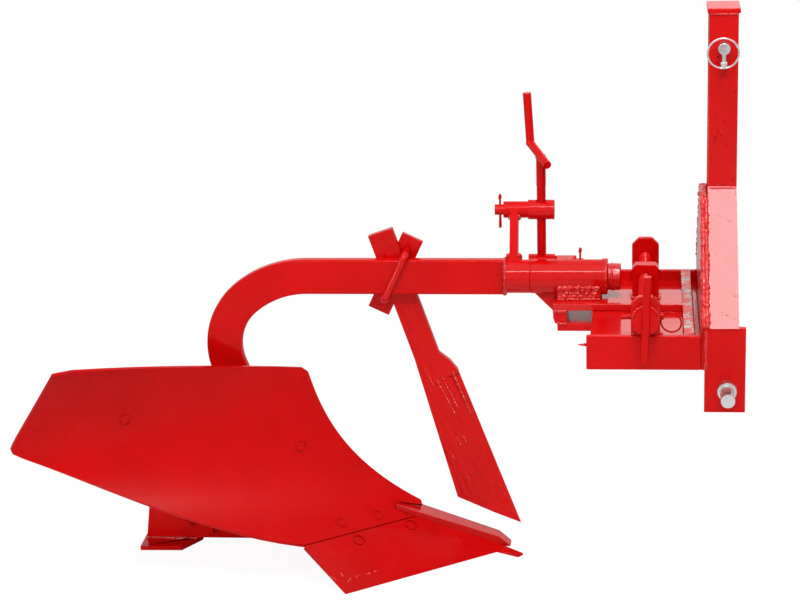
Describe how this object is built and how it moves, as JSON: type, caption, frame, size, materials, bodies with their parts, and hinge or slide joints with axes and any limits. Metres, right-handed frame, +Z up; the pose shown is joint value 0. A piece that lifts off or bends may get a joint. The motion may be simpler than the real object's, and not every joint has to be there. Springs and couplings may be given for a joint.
{
  "type": "moldboard plough",
  "caption": "Tractor-mounted moldboard plough with a gooseneck beam, knife coulter, share and landside, a screw-set tilt, a side-shift slide and an A-shaped three-point headstock.",
  "frame": {"origin": "on the ground under the middle of the plough's box, in the headstock's middle plane", "axes": "+X the way the plough travels, +Y to the left (landside), +Z up"},
  "size_m": [1.1902, 0.548, 0.95],
  "materials": {
    "red_paint": "gloss red paint over welded and forged steel",
    "zinc": "bright zinc plate on turned pins"
  },
  "bodies": {
    "plough": {"beam": "red_paint", "trunnion": "red_paint", "trunnion_cap": "red_paint", "tilt_arm": "red_paint", "frog": "red_paint", "landside": "red_paint", "heel": "red_paint", "moldboard": "red_paint", "share": "red_paint", "share_bar": "red_paint", "wing_brace": "red_paint", "coulter": "red_paint", "coulter_plate": "red_paint", "coulter_u_bolt": "red_paint"},
    "upper_block": {"upper_swivel": "red_paint"},
    "carriage": {"sleeve": "red_paint", "sleeve_lug": "red_paint", "saddle": "red_paint", "carriage_plate": "red_paint", "carriage_spacer": "red_paint", "carriage_keeper": "red_paint", "offset_nut": "red_paint"},
    "screw_set": {"lower_swivel": "red_paint", "tilt_screw": "red_paint", "tilt_crank": "red_paint"},
    "headstock": {"tray": "red_paint", "side_bar_right": "red_paint", "side_bar_left": "red_paint", "guide_rail": "red_paint", "offset_bracket_right": "red_paint", "offset_bracket_left": "red_paint", "offset_screw": "red_paint", "offset_lever": "red_paint", "web_plate": "red_paint", "mast_bar_right": "red_paint", "mast_bar_left": "red_paint", "mast_cap": "red_paint", "top_pin": "zinc", "hitch_bracket_right": "red_paint", "hitch_bracket_left": "red_paint", "hitch_pin_right": "zinc", "hitch_pin_left": "zinc"}
  },
  "joints": [
    {"name": "tilt", "type": "hinge", "parent": "plough", "child": "carriage", "pos_m": [0.311, 0.045, 0.489], "axis": [1, 0, 0], "range_deg": [-10, 10]},
    {"name": "side_shift", "type": "slide", "parent": "carriage", "child": "headstock", "axis": [0, 1, 0], "range_m": [-0.04, 0.13]},
    {"name": "screw_swing", "type": "hinge", "parent": "carriage", "child": "screw_set", "pos_m": [0.264, 0.093, 0.498], "axis": [1, 0, 0], "range_deg": [-12, 12]},
    {"name": "block_swing", "type": "hinge", "parent": "plough", "child": "upper_block", "pos_m": [0.264, 0.093, 0.592], "axis": [1, 0, 0], "range_deg": [-2, 2]}
  ],
  "couplings": [
    {"joint": "screw_swing", "follows": "tilt", "ratio": -1.1},
    {"joint": "block_swing", "follows": "tilt", "ratio": -0.1}
  ]
}
